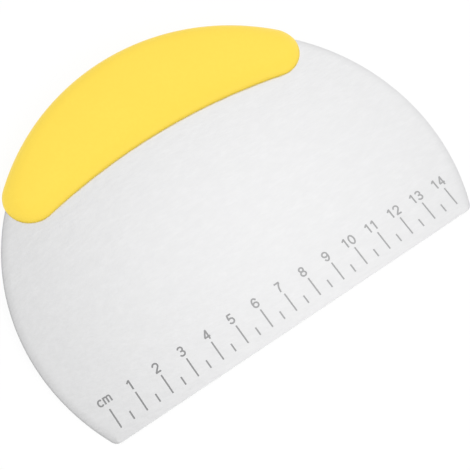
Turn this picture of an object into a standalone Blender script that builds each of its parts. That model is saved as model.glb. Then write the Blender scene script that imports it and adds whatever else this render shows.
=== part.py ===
"""Half-round dough scraper: a sheet steel blade with an engraved centimetre scale,
clamped between the two moulded shells of its crescent grip.

Metres. The blade's mid-plane is z = 0, the origin is the middle of the straight
scraping edge, +Y points to the grip and +Z out of the face that carries the scale.
"""
import math

import bmesh
import bpy

# Blade: a disc cut off by the straight scraping edge
BLADE_RADIUS = 0.0823
BLADE_ARC_CENTRE = 0.0365
BLADE_THICKNESS = 0.0008
BLADE_CORNER_RADIUS = 0.003

# Scale engraved in the front face
SCALE_CENTIMETRES = 14
SCALE_PITCH = 0.010
SCALE_BASELINE = 0.0040
SCALE_SHIFT = 0.0006
LONG_TICK = 0.0073
SHORT_TICK = 0.0031
TICK_WIDTH = 0.00054
ENGRAVING_DEPTH = 0.0001
DIGIT_HEIGHT = 0.0036
DIGIT_STROKE = 0.00058
DIGIT_ADVANCE = 0.00255
DIGIT_PITCH = 0.00996
DIGIT_GAP = 0.0011
UNIT_HEIGHT = 0.0025
UNIT_STROKE = 0.00050
UNIT_LIFT = 0.0008

# Proportions of the signs, in shares of their own height
DIGIT_WIDTH = 0.65
UNIT_STEMS = (1.15, 1.61, 2.07)

# Grip: a crescent that follows the blade's arc and stands a little proud of it
GRIP_OVERHANG = 0.0024
GRIP_DEPTH = 0.0352
GRIP_INNER_RADIUS = 0.223
GRIP_END_RADIUS = 0.0100
GRIP_HALF_THICKNESS = 0.0062
GRIP_END_DROP = 0.0028
GRIP_INNER_DROP = 0.0030
CROWN_WIDTH = 0.0070
CROWN_SQUARENESS = 2.8
INNER_SQUARENESS = 3.2

# Fit of the shells on the blade and on each other
SHELL_WALL = 0.0022
PARTING_GAP = 0.0003
SEAT_GAP = 0.0003
RIM_CLEARANCE = 0.0003

# Rear shell's posts, which pass through the blade into the front shell's sockets
POST_COUNT = 3
POST_SPACING = 0.032
POST_RADIUS = 0.0032
PIN_RADIUS = 0.0017
PIN_REACH = 0.0032
PIN_CLEARANCE = 0.0003
SOCKET_WALL = 0.0016

# Steps on the curved outlines
BLADE_ARC_STEPS = 132
CORNER_STEPS = 6
GRIP_ARC_STEPS = 40
GRIP_END_STEPS = 12
CROWN_RINGS = 7
CAVITY_RINGS = 4
ROUND_STEPS = 24
SLOT_STEPS = 180

# Finish: base colour in linear light, roughness, metallic
STEEL = ((0.80, 0.80, 0.81), 0.34, 1.0)
YELLOW_PLASTIC = ((1.0, 0.76, 0.107), 0.42, 0.0)

# Heights worked out from the sizes above
BLADE_FACE = BLADE_THICKNESS / 2
SEAT = BLADE_FACE + SEAT_GAP
PARTING = PARTING_GAP / 2

# How far a cutter runs past what it cuts, the sharpest turn that is shaded smooth in
# degrees, and the distance at which two points are one
CUT_MARGIN = 0.001
SMOOTH_ANGLE = 30
SAME_POINT = 1e-7


def arc(centre, radius, start, end, steps):
    """Points of a circular arc in the plan, both ends included."""
    turns = [start + (end - start) * step / steps for step in range(steps + 1)]
    return [(centre[0] + radius * math.cos(turn), centre[1] + radius * math.sin(turn)) for turn in turns]


def bow(x, y, across, up, start, end, steps):
    """Points of an elliptical arc of a letter, with its angles in degrees."""
    turns = [math.radians(start + (end - start) * step / steps) for step in range(steps + 1)]
    return [(x + across * math.cos(turn), y + up * math.sin(turn)) for turn in turns]


def without_repeats(points):
    """Drop each point that falls on the one before it."""
    return [point for index, point in enumerate(points) if math.dist(point, points[index - 1]) > SAME_POINT]


def blade_outline():
    """The blade's arc, both rounded corners and the straight edge, anticlockwise."""
    centre = (0.0, BLADE_ARC_CENTRE)
    reach = BLADE_RADIUS - BLADE_CORNER_RADIUS
    corner_x = math.sqrt(reach ** 2 - (BLADE_ARC_CENTRE - BLADE_CORNER_RADIUS) ** 2)
    meet = math.atan2(BLADE_CORNER_RADIUS - BLADE_ARC_CENTRE, corner_x)
    right = arc((corner_x, BLADE_CORNER_RADIUS), BLADE_CORNER_RADIUS, -math.pi / 2, meet, CORNER_STEPS)
    crown = arc(centre, BLADE_RADIUS, meet, math.pi - meet, BLADE_ARC_STEPS)
    left = [(-x, y) for x, y in reversed(right)]
    return without_repeats(right + crown + left)


def grip_circles():
    """Outer radius, centre of the inner arc and centre of the right-hand end of the grip."""
    outer = BLADE_RADIUS + GRIP_OVERHANG
    inner_centre = BLADE_ARC_CENTRE + outer - GRIP_DEPTH - GRIP_INNER_RADIUS
    near = outer - GRIP_END_RADIUS
    far = GRIP_INNER_RADIUS + GRIP_END_RADIUS
    apart = BLADE_ARC_CENTRE - inner_centre
    rise = (far ** 2 - near ** 2 - apart ** 2) / (2 * apart)
    end = (math.sqrt(near ** 2 - rise ** 2), BLADE_ARC_CENTRE + rise)
    return outer, inner_centre, end


def grip_outline(inset):
    """The crescent's outline moved inwards: outer arc, left end, inner arc, right end."""
    outer, inner_centre, (end_x, end_y) = grip_circles()
    above = math.atan2(end_y - BLADE_ARC_CENTRE, end_x)
    below = math.atan2(end_y - inner_centre, end_x)
    top = arc((0.0, BLADE_ARC_CENTRE), outer - inset, above, math.pi - above, GRIP_ARC_STEPS)
    end = arc((end_x, end_y), GRIP_END_RADIUS - inset, below - math.pi, above, GRIP_END_STEPS)
    bottom = arc((0.0, inner_centre), GRIP_INNER_RADIUS + inset, math.pi - below, below, GRIP_ARC_STEPS)
    left = [(-x, y) for x, y in reversed(end)]
    return top + left[1:-1] + bottom + end[1:-1]


def inner_share(x, y):
    """0 at the grip's outer arc and 1 at its inner arc."""
    outer, inner_centre, _ = grip_circles()
    from_outer = outer - math.hypot(x, y - BLADE_ARC_CENTRE)
    from_inner = math.hypot(x, y - inner_centre) - GRIP_INNER_RADIUS
    return from_outer / (from_outer + from_inner)


def grip_height(x, y):
    """Height of the crown above the blade's mid-plane, lower towards the grip's ends and inner arc."""
    end_x = grip_circles()[2][0]
    along = x / (end_x + GRIP_END_RADIUS)
    thinned = GRIP_INNER_DROP * inner_share(x, y) ** 2 * (1 - along ** 2)
    return GRIP_HALF_THICKNESS - GRIP_END_DROP * along ** 2 - thinned


def crown_profile(share, x, y):
    """Rise of the rounded edge, from 0 at the outline to 1 where the crown is level."""
    squareness = CROWN_SQUARENESS + (INNER_SQUARENESS - CROWN_SQUARENESS) * inner_share(x, y)
    return (1 - (1 - share) ** squareness) ** (1 / squareness)


def spine_point(x):
    """The point of the plan halfway between the grip's two arcs."""
    outer, inner_centre, _ = grip_circles()
    top = BLADE_ARC_CENTRE + math.sqrt(outer ** 2 - x ** 2)
    bottom = inner_centre + math.sqrt(GRIP_INNER_RADIUS ** 2 - x ** 2)
    return x, (top + bottom) / 2


def post_places():
    """Plan positions of the posts, spread evenly about the middle."""
    return [spine_point((index - (POST_COUNT - 1) / 2) * POST_SPACING) for index in range(POST_COUNT)]


def join_rings(bm, rings):
    """Quads between each ring of vertices and the next."""
    for low, high in zip(rings, rings[1:]):
        for index in range(len(low)):
            after = (index + 1) % len(low)
            bm.faces.new((low[index], low[after], high[after], high[index]))


def prism(bm, outline, bottom, top):
    """A straight solid on a closed outline."""
    low = [bm.verts.new((x, y, bottom)) for x, y in outline]
    high = [bm.verts.new((x, y, top)) for x, y in outline]
    bm.faces.new(list(reversed(low)))
    bm.faces.new(high)
    join_rings(bm, [low, high])


def crescent(bm, side, inset, base, thinner, rings):
    """A crowned crescent solid on one side of the blade, standing on its base height."""
    rows = []
    for step in range(rings + 1):
        share = 1 - math.cos(math.pi / 2 * step / rings)
        points = grip_outline(inset + share * (CROWN_WIDTH - inset))
        row = []
        for x, y in points:
            height = base + (grip_height(x, y) - thinner - base) * crown_profile(share, x, y)
            row.append(bm.verts.new((x, y, side * height)))
        rows.append(row)
    join_rings(bm, rows)
    bm.faces.new(rows[0])
    crest = rows[-1]
    last = GRIP_ARC_STEPS
    bottom_start = last + GRIP_END_STEPS
    ridge = []
    for index in range(last + 1):
        x, y, _ = (crest[index].co + crest[bottom_start + last - index].co) / 2
        ridge.append(bm.verts.new((x, y, side * (grip_height(x, y) - thinner))))
    for index in range(last):
        across = bottom_start + last - index
        bm.faces.new((crest[index], crest[index + 1], ridge[index + 1], ridge[index]))
        bm.faces.new((ridge[index], ridge[index + 1], crest[across - 1], crest[across]))
    bm.faces.new(crest[last:bottom_start + 1] + ridge[-1:])
    bm.faces.new(crest[bottom_start + last:] + [crest[0], ridge[0]])


def turned(bm, place, radius, bottom, top):
    """An upright cylinder between two heights."""
    prism(bm, arc(place, radius, 0, 2 * math.pi, ROUND_STEPS)[:-1], min(bottom, top), max(bottom, top))


def stroke(bm, points, closed, width, bottom, top):
    """A groove of even width along a drawn line: a prism that is cut out of the blade."""
    count = len(points)
    sides = []
    for index, (x, y) in enumerate(points):
        before = points[index - 1] if closed or index else points[index]
        after = points[(index + 1) % count] if closed or index < count - 1 else points[index]
        length = math.dist(before, after)
        along = ((after[0] - before[0]) / length, (after[1] - before[1]) / length)
        half = width / 2
        sides.append([(x - along[1] * half, y + along[0] * half), (x + along[1] * half, y - along[0] * half)])
    section = [[bm.verts.new((*left, bottom)), bm.verts.new((*right, bottom)),
                bm.verts.new((*right, top)), bm.verts.new((*left, top))] for left, right in sides]
    if closed:
        section.append(section[0])
    else:
        bm.faces.new(section[0])
        bm.faces.new(section[-1])
    join_rings(bm, section)


def six():
    """Lines of the figure 6, which the 9 turns upside down."""
    bowl = bow(0.33, 0.305, 0.26, 0.2425, 0, 330, 11)
    tail = bow(0.335, 0.50, 0.2725, 0.4375, 205, 32, 9)
    return [(bowl, True), (tail, False)]


def digit_lines(digit):
    """Lines of one digit, one unit high and DIGIT_WIDTH wide: points and whether they close."""
    if digit == "0":
        return [(bow(0.325, 0.5, 0.2625, 0.4375, 0, 337.5, 15), True)]
    if digit == "1":
        return [([(0.335, 0.0), (0.335, 1.0)], False), ([(0.305, 0.93), (0.065, 0.74)], False)]
    if digit == "2":
        sweep = bow(0.325, 0.69, 0.25, 0.2475, 178, -40, 10)
        return [(sweep + [(0.085, 0.0625)], False), ([(0.04, 0.0625), (0.60, 0.0625)], False)]
    if digit == "3":
        upper = bow(0.31, 0.725, 0.2225, 0.2125, 165, -90, 9)
        lower = bow(0.31, 0.29, 0.255, 0.2275, 90, -165, 9)
        return [(upper, False), (lower, False), ([(0.22, 0.515), (0.33, 0.515)], False)]
    if digit == "4":
        slope = [(0.46, 0.95), (0.065, 0.30)]
        return [([(0.47, 0.0), (0.47, 1.0)], False), (slope, False), ([(0.02, 0.29), (0.64, 0.29)], False)]
    if digit == "5":
        bowl = bow(0.305, 0.315, 0.265, 0.255, 140, -158, 10)
        back = [(0.105, 0.45), (0.165, 0.95)]
        return [(bowl, False), (back, False), ([(0.12, 0.9375), (0.57, 0.9375)], False)]
    if digit == "6":
        return six()
    if digit == "7":
        return [([(0.05, 0.9375), (0.61, 0.9375)], False), (bow(0.80, 0.0, 0.55, 0.98, 180, 112, 5), False)]
    if digit == "8":
        upper = bow(0.325, 0.735, 0.2175, 0.2025, 0, 330, 11)
        lower = bow(0.325, 0.2925, 0.26, 0.23, 0, 330, 11)
        return [(upper, True), (lower, True)]
    return [([(DIGIT_WIDTH - x, 1 - y) for x, y in points], closed) for points, closed in six()]


def unit_lines():
    """Lines of the unit's two letters, one unit high."""
    first = UNIT_STEMS[0]
    lines = [(bow(0.59, 0.5, 0.33, 0.43, 42, 318, 9), False), ([(first, 0.0), (first, 1.0)], False)]
    lines += [([(stem, 0.0), (stem, 0.75)], False) for stem in UNIT_STEMS[1:]]
    for left, right in zip(UNIT_STEMS, UNIT_STEMS[1:]):
        lines.append((bow((left + right) / 2, 0.68, (right - left) / 2, 0.23, 180, 0, 6), False))
    return lines


def place_lines(lines, size, corner):
    """Lines of a sign brought to its size, with its lower left corner in place."""
    return [([(corner[0] + x * size, corner[1] + y * size) for x, y in points], closed)
            for points, closed in lines]


def scale_lines():
    """Every engraved line of the scale with its width: ticks, numbers and the unit."""
    zero = SCALE_SHIFT - SCALE_CENTIMETRES * SCALE_PITCH / 2
    figures_y = SCALE_BASELINE + LONG_TICK + DIGIT_GAP
    lines = []
    for half in range(2 * SCALE_CENTIMETRES + 1):
        x = zero + half * SCALE_PITCH / 2
        length = SHORT_TICK if half % 2 else LONG_TICK
        lines.append(([(x, SCALE_BASELINE), (x, SCALE_BASELINE + length)], False, TICK_WIDTH))
    for centimetre in range(1, SCALE_CENTIMETRES + 1):
        number = str(centimetre)
        width = (len(number) - 1) * DIGIT_ADVANCE + DIGIT_WIDTH * DIGIT_HEIGHT
        left = zero + centimetre * DIGIT_PITCH - width / 2
        for index, digit in enumerate(number):
            corner = (left + index * DIGIT_ADVANCE, figures_y)
            for points, closed in place_lines(digit_lines(digit), DIGIT_HEIGHT, corner):
                lines.append((points, closed, DIGIT_STROKE))
    unit_corner = (zero - UNIT_STEMS[0] * UNIT_HEIGHT, figures_y + UNIT_LIFT)
    for points, closed in place_lines(unit_lines(), UNIT_HEIGHT, unit_corner):
        lines.append((points, closed, UNIT_STROKE))
    return lines


def finish(name, colour, roughness, metallic):
    """A plain material for one piece."""
    material = bpy.data.materials.new(name)
    material.use_nodes = True
    shader = material.node_tree.nodes["Principled BSDF"]
    shader.inputs["Base Color"].default_value = (*colour, 1.0)
    shader.inputs["Roughness"].default_value = roughness
    shader.inputs["Metallic"].default_value = metallic
    return material


def new_object(name, bm, parent):
    """An object made from a closed mesh, with its faces pointing out."""
    bmesh.ops.recalc_face_normals(bm, faces=bm.faces)
    mesh = bpy.data.meshes.new(name)
    bm.to_mesh(mesh)
    bm.free()
    item = bpy.data.objects.new(name, mesh)
    item.parent = parent
    bpy.context.scene.collection.objects.link(item)
    return item


def shape_with(target, operation, tool, crossing=False):
    """Cut a tool out of the target, or join it on, and hide the tool."""
    tool.hide_render = True
    tool.display_type = "WIRE"
    step = target.modifiers.new(tool.name, "BOOLEAN")
    step.operation = operation
    step.solver = "EXACT"
    step.use_self = crossing
    step.object = tool


def make_blade(parent):
    """Sheet steel blade with holes for the posts and the engraved scale."""
    bm = bmesh.new()
    prism(bm, blade_outline(), -BLADE_FACE, BLADE_FACE)
    blade = new_object("blade", bm, parent)
    blade.data.materials.append(finish("brushed_steel", *STEEL))

    bm = bmesh.new()
    for place in post_places():
        turned(bm, place, PIN_RADIUS + PIN_CLEARANCE, -BLADE_FACE - CUT_MARGIN, BLADE_FACE + CUT_MARGIN)
    shape_with(blade, "DIFFERENCE", new_object("blade_holes_cutter", bm, parent))

    bm = bmesh.new()
    for points, closed, width in scale_lines():
        stroke(bm, points, closed, width, BLADE_FACE - ENGRAVING_DEPTH, BLADE_FACE + CUT_MARGIN)
    shape_with(blade, "DIFFERENCE", new_object("scale_cutter", bm, parent), crossing=True)
    return blade


def make_shell(name, side, parent):
    """One hollow half of the grip, cut back where it lies on the blade."""
    bm = bmesh.new()
    crescent(bm, side, 0.0, PARTING, 0.0, CROWN_RINGS)
    shell = new_object(name, bm, parent)
    shell.data.materials.append(finish(name + "_plastic", *YELLOW_PLASTIC))

    bm = bmesh.new()
    crescent(bm, side, SHELL_WALL, -CUT_MARGIN, SHELL_WALL, CAVITY_RINGS)
    shape_with(shell, "DIFFERENCE", new_object(name + "_cavity_cutter", bm, parent))

    bm = bmesh.new()
    slot = arc((0.0, BLADE_ARC_CENTRE), BLADE_RADIUS + RIM_CLEARANCE, 0, 2 * math.pi, SLOT_STEPS)[:-1]
    prism(bm, slot, -SEAT, SEAT)
    shape_with(shell, "DIFFERENCE", new_object(name + "_slot_cutter", bm, parent))
    return shell


def add_posts(shell, side, parent):
    """Posts that stand on the blade, each with a pin through it."""
    for index, place in enumerate(post_places()):
        root = grip_height(*place) - SHELL_WALL / 2
        bm = bmesh.new()
        turned(bm, place, POST_RADIUS, side * SEAT, side * root)
        shape_with(shell, "UNION", new_object(f"post_tool_{index + 1}", bm, parent))
        bm = bmesh.new()
        turned(bm, place, PIN_RADIUS, -side * PIN_REACH, side * (SEAT + SHELL_WALL))
        shape_with(shell, "UNION", new_object(f"pin_tool_{index + 1}", bm, parent))


def add_sockets(shell, side, parent):
    """Bosses with blind bores that take the other shell's pins."""
    bore = PIN_RADIUS + PIN_CLEARANCE
    for index, place in enumerate(post_places()):
        root = grip_height(*place) - SHELL_WALL / 2
        bm = bmesh.new()
        turned(bm, place, bore + SOCKET_WALL, side * SEAT, side * root)
        shape_with(shell, "UNION", new_object(f"socket_tool_{index + 1}", bm, parent))
        bm = bmesh.new()
        turned(bm, place, bore, 0.0, side * (PIN_REACH + PIN_CLEARANCE))
        shape_with(shell, "DIFFERENCE", new_object(f"bore_cutter_{index + 1}", bm, parent))


def main():
    for item in list(bpy.data.objects):
        bpy.data.objects.remove(item)
    frame = bpy.data.objects.new("dough_scraper", None)
    bpy.context.scene.collection.objects.link(frame)
    make_blade(frame)
    add_sockets(make_shell("front_handle_shell", 1, frame), 1, frame)
    add_posts(make_shell("rear_handle_shell", -1, frame), -1, frame)
    for item in bpy.data.objects:
        if item.type == "MESH" and not item.hide_render:
            item.data.shade_smooth()
            item.data.set_sharp_from_angle(angle=math.radians(SMOOTH_ANGLE))


main()
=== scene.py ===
"""Looks of the half-round dough scraper: brushed steel blade with an etched scale,
held between the two moulded yellow shells of its grip.

Metres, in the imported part's own frame: the blade's mid-plane is z = 0, +Y points from
the scraping edge to the grip, and +Z out of the face that carries the scale.
"""
import math

import bmesh
import bpy
from mathutils import Matrix, Vector


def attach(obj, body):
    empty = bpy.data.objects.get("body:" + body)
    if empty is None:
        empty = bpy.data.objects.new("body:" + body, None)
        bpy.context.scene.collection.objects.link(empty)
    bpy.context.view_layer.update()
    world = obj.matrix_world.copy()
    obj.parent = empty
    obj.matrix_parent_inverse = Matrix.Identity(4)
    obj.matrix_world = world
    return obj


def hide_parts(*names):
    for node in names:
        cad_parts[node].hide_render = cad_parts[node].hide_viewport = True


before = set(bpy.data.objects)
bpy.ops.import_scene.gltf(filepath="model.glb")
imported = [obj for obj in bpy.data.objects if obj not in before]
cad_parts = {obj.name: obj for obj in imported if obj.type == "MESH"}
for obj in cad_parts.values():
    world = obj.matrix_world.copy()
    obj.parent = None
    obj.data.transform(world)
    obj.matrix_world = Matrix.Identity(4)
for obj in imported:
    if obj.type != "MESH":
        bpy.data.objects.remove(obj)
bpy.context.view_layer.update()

# Blade
BLADE_RADIUS = 0.0823
BLADE_ARC_CENTRE = 0.0365
BLADE_FACE = 0.0004
BLADE_CORNER_RADIUS = 0.003

# Blade's rim, rolled off and rounded on the arc and only broken on the straight edge
ROLL_WIDTH = 0.0026
ROLL_DROP = 0.000078
RIM_ROUND = 0.00026
EDGE_ROUND = 0.00005

# Gaps between the rings of the rim's mesh, on the straight edge and inside the roll
EDGE_MARGIN = 0.00004
ROLL_MARGIN = 0.0003

# Scale etched in the front face
SCALE_CENTIMETRES = 14
SCALE_PITCH = 0.010
SCALE_BASELINE = 0.0040
SCALE_SHIFT = 0.0006
LONG_TICK = 0.0073
SHORT_TICK = 0.0031
TICK_WIDTH = 0.00054
ETCHING_DEPTH = 0.00006
DIGIT_HEIGHT = 0.0036
DIGIT_STROKE = 0.00058
DIGIT_ADVANCE = 0.00255
DIGIT_GAP = 0.0011
DIGIT_PITCH = 0.00996
UNIT_HEIGHT = 0.0025
UNIT_STROKE = 0.00055
UNIT_LIFT = 0.0008

# Proportions of the signs, in shares of their own height
DIGIT_WIDTH = 0.65
UNIT_STEMS = (1.15, 1.61, 2.07)

# Grip
GRIP_OVERHANG = 0.0024
GRIP_DEPTH = 0.0352
GRIP_INNER_RADIUS = 0.223
GRIP_END_RADIUS = 0.0100
GRIP_HALF_THICKNESS = 0.0062
GRIP_END_DROP = 0.0028
GRIP_DOME = 0.0005
GRIP_INNER_DROP = 0.0030
CROWN_WIDTH = 0.0070
CROWN_SQUARENESS = 2.8
INNER_SQUARENESS = 3.2
END_SQUARENESS = 1.9
END_FOCUS = 4
FOOT_ROUND = 0.00002

# Fit of the shells on the blade and on each other
SHELL_WALL = 0.0022
PARTING = 0.00012
SEAT = 0.000407
RIM_CLEARANCE = 0.0003
STEP_RUN = 0.0007

# How far the cut for the blade's rim stays short of the shells' feet
CUT_GRAZE = 0.000003

# Posts of the rear shell, their pins and the front shell's sockets
POST_COUNT = 3
POST_SPACING = 0.032
POST_RADIUS = 0.0032
PIN_RADIUS = 0.0017
PIN_REACH = 0.0032
PIN_CLEARANCE = 0.0003
SOCKET_WALL = 0.0016

# Steps on the curved outlines
BLADE_ARC_STEPS = 260
CORNER_STEPS = 14
GRIP_ARC_STEPS = 200
GRIP_END_STEPS = 56
CROWN_RINGS = 16
FOOT_RINGS = 4
CAVITY_RINGS = 5
RIM_RINGS = 5
ROLL_RINGS = 5
ROUND_STEPS = 40
SLOT_STEPS = 360

# Sharpest turn that is shaded smooth, in degrees
SMOOTH_ANGLE = 32

# How far a cutter runs past what it cuts
CUT_MARGIN = 0.001

# Distance at which two points are one
SAME_POINT = 3e-7

# Ranges of noise values that the materials spread out
BROAD = (0.3, 0.7)
NARROW = (0.35, 0.65)
WHOLE = (0.0, 1.0)

# Brushed steel; each bump has a depth and a strength
STEEL_COLOUR = (0.83, 0.83, 0.835)
STEEL_TONES = ((0.845, 0.845, 0.850), (0.865, 0.865, 0.870))
STEEL_SHADE = (0.818, 0.818, 0.823)
STEEL_ROUGHNESS = (0.33, 0.355)
GRAIN_SCALE = 5200
GRAIN_STRETCH = (60, 1, 1)
GRAIN_BUMP = (0.00001, 0.12)
STREAK_SCALE = 950
STREAK_STRETCH = (3, 1, 1)
STREAK_SHARE = (0.0, 0.7)
STREAK_BUMP = (0.00009, 0.5)
CLOUD_SCALE = 250
CLOUD_STRETCH = (1.8, 1, 1)
CLOUD_SHARE = (0.0, 0.6)

# Etched marks, with a painted sheen that makes them lighter between two places along the edge
MARK_COLOUR = (0.38, 0.38, 0.385)
MARK_DARK = (0.34, 0.34, 0.345)
MARK_LIGHT = (0.49, 0.49, 0.495)
MARK_SHEEN_SPAN = (-0.045, -0.005)
SPECK_COLOUR = (0.46, 0.46, 0.465)
SPECK_SCALE = 6000
SPECK_SHARE = (0.0, 0.3)

# Yellow plastic
PLASTIC_COLOUR = (1.0, 0.725, 0.060)
PLASTIC_TONES = ((0.998, 0.721, 0.060), (1.0, 0.735, 0.064))
PLASTIC_SHADE = (0.985, 0.712, 0.058)
PLASTIC_ROUGHNESS = (0.38, 0.46)
PLASTIC_SPECULAR = 0.6
TINT_SCALE = 70
RIPPLE_SCALE = 700
RIPPLE_SHARE = (0.0, 0.6)
RIPPLE_BUMP = (0.00006, 0.25)
SATIN_SCALE = 3500
SATIN_BUMP = (0.00002, 0.20)

# Floor
FLOOR_SIZE = 3.0
FLOOR_GAP = 0.00002
FLOOR_COLOUR = (0.85, 0.85, 0.85, 1.0)

# Floor's glow for the camera and in reflections
FLOOR_GLOW = 1.032
FLOOR_SHEEN = 1.42

# Share of the shadow in the camera's view, and of the glow in reflected and bounced light
FLOOR_SHADOW = 0.16
FLOOR_SHEEN_SHARE = 0.5
FLOOR_BOUNCE = 0.5

# Studio that reflections see: an even sky and walls that brighten towards the floor
WHITE = (1.0, 1.0, 1.0, 1.0)
SKY_LEVEL = 0.385
WALL_GLOW = 0.45
WALL_FOCUS = 2.0

# Bright patches of the studio: direction, focus and strength
SKY_PATCHES = (((0.240, 0.252, 0.938), 18.0, 1.12),
               ((0.850, 0.310, 0.420), 10.0, 0.54),
               ((0.000, -0.870, 0.500), 5.0, 0.25))

# Light on matt surfaces: an even level and one large soft lamp
EVEN_LEVEL = 0.93
KEY_PLACE = (0.15, -0.30, 0.50)
KEY_TARGET = (0.0, 0.06, 0.0)
KEY_SIZE = 0.4
KEY_POWER = 0.77

# Camera at the photograph's view
CAMERA_PLACE = (-0.08616, -0.06577, 0.3443)
CAMERA_RIGHT = (0.8212, -0.5699, 0.0307)
CAMERA_FORWARD = (0.2304, 0.2818, -0.9314)
CAMERA_LENS = 81.64
SENSOR_WIDTH = 36.0
CAMERA_REACH = (0.01, 10.0)


def arc(centre, radius, start, end, steps):
    """Points of a circular arc in the plan, both ends included."""
    turns = [start + (end - start) * step / steps for step in range(steps + 1)]
    return [(centre[0] + radius * math.cos(turn), centre[1] + radius * math.sin(turn)) for turn in turns]


def bow(x, y, across, up, start, end, steps):
    """Points of an elliptical arc of a letter, with its angles in degrees."""
    turns = [math.radians(start + (end - start) * step / steps) for step in range(steps + 1)]
    return [(x + across * math.cos(turn), y + up * math.sin(turn)) for turn in turns]


def smooth_step(low, high, value):
    """0 below low, 1 above high, smooth between them."""
    share = min(1.0, max(0.0, (value - low) / (high - low)))
    return share * share * (3 - 2 * share)


def join_rings(bm, rings, closed=True):
    """Quads between each ring of vertices and the next."""
    for low, high in zip(rings, rings[1:]):
        for index in range(len(low) if closed else len(low) - 1):
            after = (index + 1) % len(low)
            bm.faces.new((low[index], low[after], high[after], high[index]))


def prism(bm, outline, bottom, top):
    """A straight solid on a closed outline."""
    low = [bm.verts.new((x, y, bottom)) for x, y in outline]
    high = [bm.verts.new((x, y, top)) for x, y in outline]
    bm.faces.new(list(reversed(low)))
    bm.faces.new(high)
    join_rings(bm, [low, high])


def turned(bm, place, radius, bottom, top):
    """An upright cylinder between two heights."""
    prism(bm, arc(place, radius, 0, 2 * math.pi, ROUND_STEPS)[:-1], min(bottom, top), max(bottom, top))


def new_object(name, bm, *materials):
    """An object made from a mesh; the faces of a closed one point out."""
    bmesh.ops.recalc_face_normals(bm, faces=bm.faces)
    mesh = bpy.data.meshes.new(name)
    bm.to_mesh(mesh)
    bm.free()
    for material in materials:
        mesh.materials.append(material)
    item = bpy.data.objects.new(name, mesh)
    bpy.context.scene.collection.objects.link(item)
    return item


def shape_with(target, operation, tool, crossing=False):
    """Cut a tool out of the target, or join it on, and delete the tool."""
    step = target.modifiers.new(tool.name, "BOOLEAN")
    step.operation = operation
    step.solver = "EXACT"
    step.material_mode = "TRANSFER"
    step.use_self = crossing
    step.object = tool
    bpy.context.view_layer.update()
    evaluated = target.evaluated_get(bpy.context.evaluated_depsgraph_get())
    mesh = bpy.data.meshes.new_from_object(evaluated)
    target.modifiers.remove(step)
    old = target.data
    target.data = mesh
    bpy.data.meshes.remove(old)
    bpy.data.objects.remove(tool)


def shade(item):
    """Weld the doubled points that the cuts leave, then smooth curved faces and sharp edges."""
    bm = bmesh.new()
    bm.from_mesh(item.data)
    bmesh.ops.remove_doubles(bm, verts=bm.verts, dist=SAME_POINT)
    bm.to_mesh(item.data)
    bm.free()
    item.data.shade_smooth()
    item.data.set_sharp_from_angle(angle=math.radians(SMOOTH_ANGLE))


# Blade

def blade_outline():
    """Points of the blade's outline with their outward directions and their share of the
    rolled rim: 1 on the arc, 0 on the straight edge, easing over in the corners."""
    reach = BLADE_RADIUS - BLADE_CORNER_RADIUS
    corner_x = math.sqrt(reach ** 2 - (BLADE_ARC_CENTRE - BLADE_CORNER_RADIUS) ** 2)
    meet = math.atan2(BLADE_CORNER_RADIUS - BLADE_ARC_CENTRE, corner_x)
    points = []
    for step in range(CORNER_STEPS):
        turn = -math.pi / 2 + (meet + math.pi / 2) * step / CORNER_STEPS
        across = corner_x + BLADE_CORNER_RADIUS * math.cos(turn)
        place = (across, BLADE_CORNER_RADIUS * (1 + math.sin(turn)))
        points.append((place, turn, smooth_step(0, CORNER_STEPS, step)))
    for step in range(BLADE_ARC_STEPS + 1):
        turn = meet + (math.pi - 2 * meet) * step / BLADE_ARC_STEPS
        place = (BLADE_RADIUS * math.cos(turn), BLADE_ARC_CENTRE + BLADE_RADIUS * math.sin(turn))
        points.append((place, turn, 1.0))
    for (x, y), turn, share in reversed(points[:CORNER_STEPS]):
        points.append(((-x, y), math.pi - turn, share))
    return points


def rim_profile(share):
    """Inset and height of the blade's rim from the level face outwards, for a point with
    this share of the rolled rim."""
    round_off = EDGE_ROUND + (RIM_ROUND - EDGE_ROUND) * share
    drop = ROLL_DROP * share
    width = round_off + EDGE_MARGIN + (ROLL_WIDTH - EDGE_MARGIN) * share
    innermost = width + EDGE_MARGIN + (ROLL_MARGIN - EDGE_MARGIN) * share
    profile = [(innermost, BLADE_FACE), (width, BLADE_FACE)]
    for step in range(1, ROLL_RINGS):
        along = step / ROLL_RINGS
        profile.append((width + (round_off - width) * along, BLADE_FACE - drop * along ** 2))
    for step in range(RIM_RINGS + 1):
        turn = math.pi / 2 * step / RIM_RINGS
        height = BLADE_FACE - drop - round_off * (1 - math.cos(turn))
        profile.append((round_off * (1 - math.sin(turn)), height))
    return profile


def make_blade(steel, etched):
    """Steel sheet with its rolled rim, pin holes and etched scale."""
    bm = bmesh.new()
    columns = []
    for (x, y), turn, share in blade_outline():
        front = rim_profile(share)
        back = [(inset, -height) for inset, height in reversed(front)]
        out_x, out_y = math.cos(turn), math.sin(turn)
        columns.append([(x - inset * out_x, y - inset * out_y, z) for inset, z in front + back])
    rings = [[bm.verts.new(point) for point in ring] for ring in zip(*columns)]
    join_rings(bm, rings)
    bm.faces.new(rings[0])
    bm.faces.new(rings[-1])
    blade = new_object("blade_sheet", bm, steel, etched)

    bm = bmesh.new()
    for place in post_places():
        turned(bm, place, PIN_RADIUS + PIN_CLEARANCE, -BLADE_FACE - CUT_MARGIN, BLADE_FACE + CUT_MARGIN)
    shape_with(blade, "DIFFERENCE", new_object("pin_holes", bm, steel))

    bm = bmesh.new()
    for points, closed, width in scale_lines():
        stroke(bm, points, closed, width, BLADE_FACE - ETCHING_DEPTH, BLADE_FACE + CUT_MARGIN)
    shape_with(blade, "DIFFERENCE", new_object("scale", bm, etched), crossing=True)
    shade(blade)
    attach(blade, "root")
    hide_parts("blade")


# Scale

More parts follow.
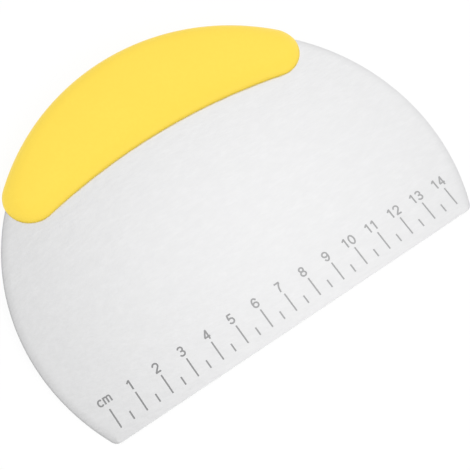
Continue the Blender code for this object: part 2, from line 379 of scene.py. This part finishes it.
def stroke(bm, points, closed, width, bottom, top):
    """A groove of even width along a drawn line: a prism that is cut out of the blade."""
    count = len(points)
    sides = []
    for index, (x, y) in enumerate(points):
        before = points[index - 1] if closed or index else points[index]
        after = points[(index + 1) % count] if closed or index < count - 1 else points[index]
        length = math.dist(before, after)
        along = ((after[0] - before[0]) / length, (after[1] - before[1]) / length)
        half = width / 2
        over_x, over_y = along[1] * half, along[0] * half
        sides.append([(x - over_x, y + over_y), (x + over_x, y - over_y)])
    section = [[bm.verts.new((*left, bottom)), bm.verts.new((*right, bottom)),
                bm.verts.new((*right, top)), bm.verts.new((*left, top))] for left, right in sides]
    if closed:
        section.append(section[0])
    else:
        bm.faces.new(section[0])
        bm.faces.new(section[-1])
    join_rings(bm, section)


def six():
    """Lines of the figure 6, which the 9 turns upside down."""
    bowl = bow(0.33, 0.305, 0.26, 0.2425, 0, 345, 23)
    tail = bow(0.335, 0.50, 0.2725, 0.4375, 205, 32, 18)
    return [(bowl, True), (tail, False)]


def digit_lines(digit):
    """Lines of one digit, one unit high and DIGIT_WIDTH wide: points and whether they close."""
    if digit == "0":
        return [(bow(0.325, 0.5, 0.2625, 0.4375, 0, 345, 23), True)]
    if digit == "1":
        return [([(0.335, 0.0), (0.335, 1.0)], False), ([(0.305, 0.93), (0.065, 0.74)], False)]
    if digit == "2":
        sweep = bow(0.325, 0.69, 0.25, 0.2475, 178, -40, 20)
        return [(sweep + [(0.085, 0.0625)], False), ([(0.04, 0.0625), (0.60, 0.0625)], False)]
    if digit == "3":
        upper = bow(0.31, 0.725, 0.2225, 0.2125, 165, -90, 18)
        lower = bow(0.31, 0.29, 0.255, 0.2275, 90, -165, 18)
        return [(upper, False), (lower, False), ([(0.22, 0.515), (0.33, 0.515)], False)]
    if digit == "4":
        slope = [(0.46, 0.95), (0.065, 0.30)]
        bar = [(0.02, 0.29), (0.64, 0.29)]
        return [([(0.47, 0.0), (0.47, 1.0)], False), (slope, False), (bar, False)]
    if digit == "5":
        bowl = bow(0.305, 0.315, 0.265, 0.255, 140, -158, 20)
        back = [(0.105, 0.45), (0.165, 0.95)]
        return [(bowl, False), (back, False), ([(0.12, 0.9375), (0.57, 0.9375)], False)]
    if digit == "6":
        return six()
    if digit == "7":
        leg = bow(0.80, 0.0, 0.55, 0.98, 180, 112, 10)
        return [([(0.05, 0.9375), (0.61, 0.9375)], False), (leg, False)]
    if digit == "8":
        upper = bow(0.325, 0.735, 0.2175, 0.2025, 0, 345, 23)
        lower = bow(0.325, 0.2925, 0.26, 0.23, 0, 345, 23)
        return [(upper, True), (lower, True)]
    return [([(DIGIT_WIDTH - x, 1 - y) for x, y in points], closed) for points, closed in six()]


def unit_lines():
    """Lines of the unit's two letters, one unit high."""
    first = UNIT_STEMS[0]
    lines = [(bow(0.59, 0.5, 0.33, 0.43, 42, 318, 18), False), ([(first, 0.0), (first, 1.0)], False)]
    lines += [([(stem, 0.0), (stem, 0.75)], False) for stem in UNIT_STEMS[1:]]
    for left, right in zip(UNIT_STEMS, UNIT_STEMS[1:]):
        lines.append((bow((left + right) / 2, 0.68, (right - left) / 2, 0.23, 180, 0, 12), False))
    return lines


def place_lines(lines, size, corner):
    """Lines of a sign brought to its size, with its lower left corner in place."""
    return [([(corner[0] + x * size, corner[1] + y * size) for x, y in points], closed)
            for points, closed in lines]


def scale_lines():
    """Every etched line of the scale with its width: ticks, numbers and the unit."""
    zero = SCALE_SHIFT - SCALE_CENTIMETRES * SCALE_PITCH / 2
    figures_y = SCALE_BASELINE + LONG_TICK + DIGIT_GAP
    lines = []
    for half in range(2 * SCALE_CENTIMETRES + 1):
        x = zero + half * SCALE_PITCH / 2
        length = SHORT_TICK if half % 2 else LONG_TICK
        lines.append(([(x, SCALE_BASELINE), (x, SCALE_BASELINE + length)], False, TICK_WIDTH))
    for centimetre in range(1, SCALE_CENTIMETRES + 1):
        number = str(centimetre)
        width = (len(number) - 1) * DIGIT_ADVANCE + DIGIT_WIDTH * DIGIT_HEIGHT
        left = zero + centimetre * DIGIT_PITCH - width / 2
        for index, digit in enumerate(number):
            corner = (left + index * DIGIT_ADVANCE, figures_y)
            for points, closed in place_lines(digit_lines(digit), DIGIT_HEIGHT, corner):
                lines.append((points, closed, DIGIT_STROKE))
    unit_corner = (zero - UNIT_STEMS[0] * UNIT_HEIGHT, figures_y + UNIT_LIFT)
    for points, closed in place_lines(unit_lines(), UNIT_HEIGHT, unit_corner):
        lines.append((points, closed, UNIT_STROKE))
    return lines


# Grip

def grip_circles():
    """Outer radius, centre of the inner arc and centre of the right-hand end of the grip."""
    outer = BLADE_RADIUS + GRIP_OVERHANG
    inner_centre = BLADE_ARC_CENTRE + outer - GRIP_DEPTH - GRIP_INNER_RADIUS
    near = outer - GRIP_END_RADIUS
    far = GRIP_INNER_RADIUS + GRIP_END_RADIUS
    apart = BLADE_ARC_CENTRE - inner_centre
    rise = (far ** 2 - near ** 2 - apart ** 2) / (2 * apart)
    end = (math.sqrt(near ** 2 - rise ** 2), BLADE_ARC_CENTRE + rise)
    return outer, inner_centre, end


def grip_outline(inset):
    """The crescent's outline moved inwards: outer arc, left end, inner arc, right end."""
    outer, inner_centre, (end_x, end_y) = grip_circles()
    above = math.atan2(end_y - BLADE_ARC_CENTRE, end_x)
    below = math.atan2(end_y - inner_centre, end_x)
    top = arc((0.0, BLADE_ARC_CENTRE), outer - inset, above, math.pi - above, GRIP_ARC_STEPS)
    end = arc((end_x, end_y), GRIP_END_RADIUS - inset, below - math.pi, above, GRIP_END_STEPS)
    bottom = arc((0.0, inner_centre), GRIP_INNER_RADIUS + inset, math.pi - below, below, GRIP_ARC_STEPS)
    left = [(-x, y) for x, y in reversed(end)]
    return top + left[1:-1] + bottom + end[1:-1]


def grip_height(x, y):
    """Height of the crown above the blade's mid-plane: lower towards the grip's ends and its
    inner arc, and slightly domed across."""
    end_x = grip_circles()[2][0]
    inwards = inner_share(x, y)
    along = x / (end_x + GRIP_END_RADIUS)
    thinned = GRIP_INNER_DROP * inwards ** 2 * (1 - along ** 2)
    domed = GRIP_DOME * (2 * inwards - 1) ** 2
    return GRIP_HALF_THICKNESS - GRIP_END_DROP * along ** 2 - domed - thinned


def inner_share(x, y):
    """0 at the grip's outer arc and 1 at its inner arc."""
    outer, inner_centre, _ = grip_circles()
    from_outer = outer - math.dist((x, y), (0.0, BLADE_ARC_CENTRE))
    from_inner = math.dist((x, y), (0.0, inner_centre)) - GRIP_INNER_RADIUS
    return from_outer / (from_outer + from_inner)


def squareness_at(x, y):
    """Squareness of the crown: fuller along the inner arc and softer at the grip's ends."""
    along = x / (grip_circles()[2][0] + GRIP_END_RADIUS)
    middle = CROWN_SQUARENESS + (INNER_SQUARENESS - CROWN_SQUARENESS) * inner_share(x, y)
    return middle + (END_SQUARENESS - middle) * along ** END_FOCUS


def crown_profile(share, squareness=CROWN_SQUARENESS):
    """Rise of the rounded edge, from 0 at the outline to 1 where the crown is level."""
    return (1 - (1 - share) ** squareness) ** (1 / squareness)


def foot_heights():
    """Height of the shell's foot at each point of the outline: on the blade, or at the
    parting line where the grip overhangs it."""
    slot = BLADE_RADIUS + RIM_CLEARANCE
    heights = []
    for point in grip_outline(0.0):
        radius = math.dist(point, (0.0, BLADE_ARC_CENTRE))
        past = smooth_step(slot - STEP_RUN / 2, slot + STEP_RUN / 2, radius)
        heights.append(SEAT + (PARTING - SEAT) * past)
    return heights


def crest_faces(bm, crest, height_at, side):
    """Fill the level top inside the crest ring with a fine grid that follows its height."""
    last = GRIP_ARC_STEPS
    lower = last + GRIP_END_STEPS
    columns = []
    for index in range(last + 1):
        near = crest[index]
        far = crest[lower + last - index]
        column = [near]
        for step in range(1, GRIP_END_STEPS):
            place = near.co.lerp(far.co, step / GRIP_END_STEPS)
            column.append(bm.verts.new((place.x, place.y, side * height_at(place.x, place.y))))
        columns.append(column + [far])
    join_rings(bm, columns, closed=False)
    left = crest[last:lower + 1]
    right = list(reversed(crest[lower + last:] + crest[:1]))
    for column, end in ((columns[-1], left), (columns[0], right)):
        for step in range(GRIP_END_STEPS):
            corners = [column[step], column[step + 1], end[step + 1], end[step]]
            bm.faces.new(list(dict.fromkeys(corners)))


def make_shell(name, side, plastic):
    """One hollow half of the grip with its rounded foot, cut back for the blade's rim."""
    feet = foot_heights()
    bm = bmesh.new()
    rings = []

    def add_ring(inset, height):
        points = zip(grip_outline(inset), feet)
        rings.append([bm.verts.new((x, y, side * height(x, y, foot))) for (x, y), foot in points])

    def ceiling(x, y):
        return grip_height(x, y) - SHELL_WALL

    for step in range(CAVITY_RINGS, 0, -1):
        share = 1 - math.cos(math.pi / 2 * step / CAVITY_RINGS)
        rise = crown_profile(share)
        inset = SHELL_WALL + share * (CROWN_WIDTH - SHELL_WALL)
        add_ring(inset, lambda x, y, foot: foot + (ceiling(x, y) - foot) * rise)
    add_ring(SHELL_WALL, lambda x, y, foot: foot)
    for step in range(FOOT_RINGS):
        turn = math.pi / 2 * step / FOOT_RINGS
        lift = FOOT_ROUND * (1 - math.cos(turn))
        add_ring(FOOT_ROUND * (1 - math.sin(turn)), lambda x, y, foot: foot + lift)
    for step in range(CROWN_RINGS + 1):
        share = 1 - math.cos(math.pi / 2 * step / CROWN_RINGS)

        def crown(x, y, foot):
            start = foot + FOOT_ROUND
            return start + (grip_height(x, y) - start) * crown_profile(share, squareness_at(x, y))

        add_ring(share * CROWN_WIDTH, crown)
    join_rings(bm, rings)
    crest_faces(bm, rings[0], ceiling, side)
    crest_faces(bm, rings[-1], grip_height, side)
    shell = new_object(name, bm, plastic)

    bm = bmesh.new()
    slot = arc((0.0, BLADE_ARC_CENTRE), BLADE_RADIUS + RIM_CLEARANCE, 0, 2 * math.pi, SLOT_STEPS)[:-1]
    prism(bm, slot, -SEAT + CUT_GRAZE, SEAT - CUT_GRAZE)
    shape_with(shell, "DIFFERENCE", new_object("slot", bm, plastic))
    return shell


def spine_point(x):
    """The point of the plan halfway between the grip's two arcs."""
    outer, inner_centre, _ = grip_circles()
    top = BLADE_ARC_CENTRE + math.sqrt(outer ** 2 - x ** 2)
    bottom = inner_centre + math.sqrt(GRIP_INNER_RADIUS ** 2 - x ** 2)
    return x, (top + bottom) / 2


def post_places():
    """Plan positions of the posts, spread evenly about the middle."""
    return [spine_point((index - (POST_COUNT - 1) / 2) * POST_SPACING) for index in range(POST_COUNT)]


def make_front_shell(plastic):
    """Front half of the grip, with sockets that take the rear half's pins."""
    shell = make_shell("front_grip_shell", 1, plastic)
    bore = PIN_RADIUS + PIN_CLEARANCE
    for place in post_places():
        bm = bmesh.new()
        turned(bm, place, bore + SOCKET_WALL, SEAT, grip_height(*place) - SHELL_WALL / 2)
        shape_with(shell, "UNION", new_object("socket", bm, plastic))
        bm = bmesh.new()
        turned(bm, place, bore, 0.0, PIN_REACH + PIN_CLEARANCE)
        shape_with(shell, "DIFFERENCE", new_object("bore", bm, plastic))
    shade(shell)
    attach(shell, "root")
    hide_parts("front_handle_shell")


def make_rear_shell(plastic):
    """Rear half of the grip, with posts that stand on the blade and pins through it."""
    shell = make_shell("rear_grip_shell", -1, plastic)
    for place in post_places():
        bm = bmesh.new()
        turned(bm, place, POST_RADIUS, -SEAT, -grip_height(*place) + SHELL_WALL / 2)
        shape_with(shell, "UNION", new_object("post", bm, plastic))
        bm = bmesh.new()
        turned(bm, place, PIN_RADIUS, PIN_REACH, -SEAT - SHELL_WALL)
        shape_with(shell, "UNION", new_object("pin", bm, plastic))
    shade(shell)
    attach(shell, "root")
    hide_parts("rear_handle_shell")
    return shell


# Materials

def new_material(name, colour, roughness, metallic):
    """A material with its node tree and its shader."""
    material = bpy.data.materials.new(name)
    material.use_nodes = True
    tree = material.node_tree
    shader = tree.nodes["Principled BSDF"]
    shader.inputs["Base Color"].default_value = (*colour, 1.0)
    shader.inputs["Roughness"].default_value = roughness
    shader.inputs["Metallic"].default_value = metallic
    return material, tree, shader


def noise(tree, scale, stretch=(1, 1, 1), detail=2.0, roughness=0.5):
    """Noise in the object's own space; stretch divides its grain along each axis."""
    place = tree.nodes.new("ShaderNodeTexCoord")
    mapping = tree.nodes.new("ShaderNodeMapping")
    mapping.inputs["Scale"].default_value = [scale / part for part in stretch]
    texture = tree.nodes.new("ShaderNodeTexNoise")
    texture.inputs["Scale"].default_value = 1.0
    texture.inputs["Detail"].default_value = detail
    texture.inputs["Roughness"].default_value = roughness
    tree.links.new(place.outputs["Object"], mapping.inputs["Vector"])
    tree.links.new(mapping.outputs["Vector"], texture.inputs["Vector"])
    return texture.outputs["Fac"]


def spread(tree, value, source, target):
    """A value brought from one range to another."""
    node = tree.nodes.new("ShaderNodeMapRange")
    for name, number in zip(("From Min", "From Max", "To Min", "To Max"), source + target):
        node.inputs[name].default_value = number
    tree.links.new(value, node.inputs["Value"])
    return node.outputs["Result"]


def blend_colours(tree, factor, first, second):
    """A colour between two others; each is a colour or another node's output."""
    node = tree.nodes.new("ShaderNodeMix")
    node.data_type = "RGBA"
    tree.links.new(factor, node.inputs["Factor"])
    for socket, colour in ((node.inputs[6], first), (node.inputs[7], second)):
        if isinstance(colour, tuple):
            socket.default_value = (*colour, 1.0)
        else:
            tree.links.new(colour, socket)
    return node.outputs[2]


def calculate(tree, operation, *values):
    """A Math node on outputs and numbers."""
    node = tree.nodes.new("ShaderNodeMath")
    node.operation = operation
    for socket, value in zip(node.inputs, values):
        if isinstance(value, float):
            socket.default_value = value
        else:
            tree.links.new(value, socket)
    return node.outputs[0]


def bump(tree, height, size, below=None):
    """A bump from a height, with its depth and strength, laid over another bump."""
    node = tree.nodes.new("ShaderNodeBump")
    distance, strength = size
    node.inputs["Distance"].default_value = distance
    node.inputs["Strength"].default_value = strength
    tree.links.new(height, node.inputs["Height"])
    if below is not None:
        tree.links.new(below, node.inputs["Normal"])
    return node.outputs["Normal"]


def steel_material():
    """Fine brushed stainless steel, its grain along the scraping edge."""
    material, tree, shader = new_material("brushed_steel", STEEL_COLOUR, roughness=0.34, metallic=1.0)
    grain = noise(tree, GRAIN_SCALE, GRAIN_STRETCH, detail=3.0, roughness=0.6)
    streak = noise(tree, STREAK_SCALE, STREAK_STRETCH, detail=3.0, roughness=0.6)
    cloud = noise(tree, CLOUD_SCALE, CLOUD_STRETCH, detail=3.0)
    tone = blend_colours(tree, spread(tree, grain, BROAD, WHOLE), *STEEL_TONES)
    tone = blend_colours(tree, spread(tree, streak, NARROW, STREAK_SHARE), tone, STEEL_SHADE)
    tone = blend_colours(tree, spread(tree, cloud, NARROW, CLOUD_SHARE), tone, STEEL_SHADE)
    tree.links.new(tone, shader.inputs["Base Color"])
    tree.links.new(spread(tree, grain, BROAD, STEEL_ROUGHNESS), shader.inputs["Roughness"])
    normal = bump(tree, grain, GRAIN_BUMP, bump(tree, streak, STREAK_BUMP))
    tree.links.new(normal, shader.inputs["Normal"])
    return material


def etched_material():
    """Dark etched marks, with a painted sheen that makes them a little lighter towards the higher
    numbers.
    """
    material, tree, shader = new_material("etched_marks", MARK_COLOUR, roughness=0.45, metallic=0.8)
    place = tree.nodes.new("ShaderNodeTexCoord")
    split = tree.nodes.new("ShaderNodeSeparateXYZ")
    tree.links.new(place.outputs["Object"], split.inputs["Vector"])
    # Painted sheen: the marks' colour lightens along the edge as if they reflected more light there
    along = spread(tree, split.outputs["X"], MARK_SHEEN_SPAN, WHOLE)
    tone = blend_colours(tree, along, MARK_DARK, MARK_LIGHT)
    speck = spread(tree, noise(tree, SPECK_SCALE), BROAD, SPECK_SHARE)
    tone = blend_colours(tree, speck, tone, SPECK_COLOUR)
    tree.links.new(tone, shader.inputs["Base Color"])
    return material


def plastic_material():
    """Warm yellow moulded plastic with a satin surface."""
    material, tree, shader = new_material("yellow_plastic", PLASTIC_COLOUR, roughness=0.42, metallic=0.0)
    tint = noise(tree, TINT_SCALE, detail=3.0)
    ripple = noise(tree, RIPPLE_SCALE)
    tone = blend_colours(tree, spread(tree, tint, BROAD, WHOLE), *PLASTIC_TONES)
    tone = blend_colours(tree, spread(tree, ripple, NARROW, RIPPLE_SHARE), tone, PLASTIC_SHADE)
    tree.links.new(tone, shader.inputs["Base Color"])
    shader.inputs["Specular IOR Level"].default_value = PLASTIC_SPECULAR
    satin = noise(tree, SATIN_SCALE, detail=3.0, roughness=0.6)
    tree.links.new(spread(tree, satin, BROAD, PLASTIC_ROUGHNESS), shader.inputs["Roughness"])
    normal = bump(tree, satin, SATIN_BUMP, bump(tree, ripple, RIPPLE_BUMP))
    tree.links.new(normal, shader.inputs["Normal"])
    return material


# Studio

def floor_material():
    """Plain white floor that keeps the object's shadow and shows nothing from below."""
    material = bpy.data.materials.new("floor_white")
    material.use_nodes = True
    tree = material.node_tree
    tree.nodes.clear()
    out = tree.nodes.new("ShaderNodeOutputMaterial")
    path = tree.nodes.new("ShaderNodeLightPath")
    camera = path.outputs["Is Camera Ray"]
    glossy = path.outputs["Is Glossy Ray"]
    diffuse = path.outputs["Is Diffuse Ray"]
    shadowless = calculate(tree, "MULTIPLY", camera, 1 - FLOOR_SHADOW)
    shadowless = calculate(tree, "MULTIPLY_ADD", glossy, FLOOR_SHEEN_SHARE, shadowless)
    shadowless = calculate(tree, "MULTIPLY_ADD", diffuse, FLOOR_BOUNCE, shadowless)
    strength = calculate(tree, "MULTIPLY_ADD", glossy, FLOOR_SHEEN - FLOOR_GLOW, FLOOR_GLOW)
    matt = tree.nodes.new("ShaderNodeBsdfDiffuse")
    matt.inputs["Color"].default_value = FLOOR_COLOUR
    glow = tree.nodes.new("ShaderNodeEmission")
    glow.inputs["Color"].default_value = WHITE
    tree.links.new(strength, glow.inputs["Strength"])
    shown = tree.nodes.new("ShaderNodeMixShader")
    tree.links.new(shadowless, shown.inputs["Fac"])
    tree.links.new(matt.outputs[0], shown.inputs[1])
    tree.links.new(glow.outputs[0], shown.inputs[2])
    clear = tree.nodes.new("ShaderNodeBsdfTransparent")
    side = tree.nodes.new("ShaderNodeNewGeometry")
    both = tree.nodes.new("ShaderNodeMixShader")
    tree.links.new(side.outputs["Backfacing"], both.inputs["Fac"])
    tree.links.new(shown.outputs[0], both.inputs[1])
    tree.links.new(clear.outputs[0], both.inputs[2])
    tree.links.new(both.outputs[0], out.inputs["Surface"])
    return material


def make_floor(rear_shell):
    """The table under the scraper, which rests on its straight edge and its rear belly."""
    points = [vertex.co for vertex in rear_shell.data.vertices]
    slope = max(math.atan2(-point.z - BLADE_FACE, point.y) for point in points)
    bm = bmesh.new()
    half = FLOOR_SIZE / 2
    corners = ((-half, -half), (half, -half), (half, half), (-half, half))
    bm.faces.new([bm.verts.new((x, y, 0)) for x, y in corners])
    floor = new_object("floor", bm, floor_material())
    if floor.data.polygons[0].normal.z < 0:
        floor.data.flip_normals()
    lowered = Matrix.Translation((0, 0, -BLADE_FACE - FLOOR_GAP))
    floor.matrix_world = lowered @ Matrix.Rotation(-slope, 4, "X")


def make_world():
    """White for the camera. Glossy rays see a soft studio with bright patches and walls, and
    diffuse rays an even light."""
    world = bpy.data.worlds.new("studio")
    bpy.context.scene.world = world
    world.use_nodes = True
    tree = world.node_tree
    tree.nodes.clear()
    out = tree.nodes.new("ShaderNodeOutputWorld")
    path = tree.nodes.new("ShaderNodeLightPath")
    place = tree.nodes.new("ShaderNodeTexCoord")

    def facing(direction):
        node = tree.nodes.new("ShaderNodeVectorMath")
        node.operation = "DOT_PRODUCT"
        node.inputs[1].default_value = Vector(direction).normalized()
        tree.links.new(place.outputs["Generated"], node.inputs[0])
        return node.outputs["Value"]

    glossy = SKY_LEVEL
    for direction, focus, glow in SKY_PATCHES:
        patch = calculate(tree, "POWER", calculate(tree, "MAXIMUM", facing(direction), 0.0), focus)
        glossy = calculate(tree, "MULTIPLY_ADD", patch, glow, glossy)
    lowness = calculate(tree, "MULTIPLY_ADD", facing((0, 0, 1)), -1.0, 1.0)
    walls = calculate(tree, "POWER", calculate(tree, "MAXIMUM", lowness, 0.0), WALL_FOCUS)
    glossy = calculate(tree, "MULTIPLY_ADD", walls, WALL_GLOW, glossy)
    level = tree.nodes.new("ShaderNodeMix")
    tree.links.new(path.outputs["Is Diffuse Ray"], level.inputs["Factor"])
    tree.links.new(glossy, level.inputs[2])
    level.inputs[3].default_value = EVEN_LEVEL
    studio = tree.nodes.new("ShaderNodeBackground")
    studio.inputs["Color"].default_value = WHITE
    tree.links.new(level.outputs[0], studio.inputs["Strength"])
    white = tree.nodes.new("ShaderNodeBackground")
    white.inputs["Color"].default_value = WHITE
    both = tree.nodes.new("ShaderNodeMixShader")
    tree.links.new(path.outputs["Is Camera Ray"], both.inputs["Fac"])
    tree.links.new(studio.outputs[0], both.inputs[1])
    tree.links.new(white.outputs[0], both.inputs[2])
    tree.links.new(both.outputs[0], out.inputs["Surface"])


def make_lamp(name, place, target, size, power):
    """A large square soft lamp aimed at a point."""
    data = bpy.data.lights.new(name, "AREA")
    data.shape = "SQUARE"
    data.size = size
    data.energy = power
    lamp = bpy.data.objects.new(name, data)
    lamp.visible_glossy = False
    lamp.location = place
    lamp.rotation_mode = "QUATERNION"
    lamp.rotation_quaternion = (Vector(target) - Vector(place)).to_track_quat("-Z", "Y")
    bpy.context.scene.collection.objects.link(lamp)


def make_camera():
    """The photograph's view."""
    data = bpy.data.cameras.new("camera")
    data.lens = CAMERA_LENS
    data.sensor_width = SENSOR_WIDTH
    data.clip_start, data.clip_end = CAMERA_REACH
    camera = bpy.data.objects.new("camera", data)
    forward = Vector(CAMERA_FORWARD).normalized()
    right = Vector(CAMERA_RIGHT)
    right = (right - forward * right.dot(forward)).normalized()
    up = right.cross(forward)
    turn = Matrix((right, up, -forward)).transposed().to_4x4()
    camera.matrix_world = Matrix.Translation(CAMERA_PLACE) @ turn
    bpy.context.scene.collection.objects.link(camera)
    bpy.context.scene.camera = camera


make_camera()
steel = steel_material()
etched = etched_material()
plastic = plastic_material()
make_blade(steel, etched)
make_front_shell(plastic)
make_floor(make_rear_shell(plastic))
make_world()
make_lamp("key_lamp", KEY_PLACE, KEY_TARGET, KEY_SIZE, KEY_POWER)
bpy.context.scene.view_settings.view_transform = "Standard"
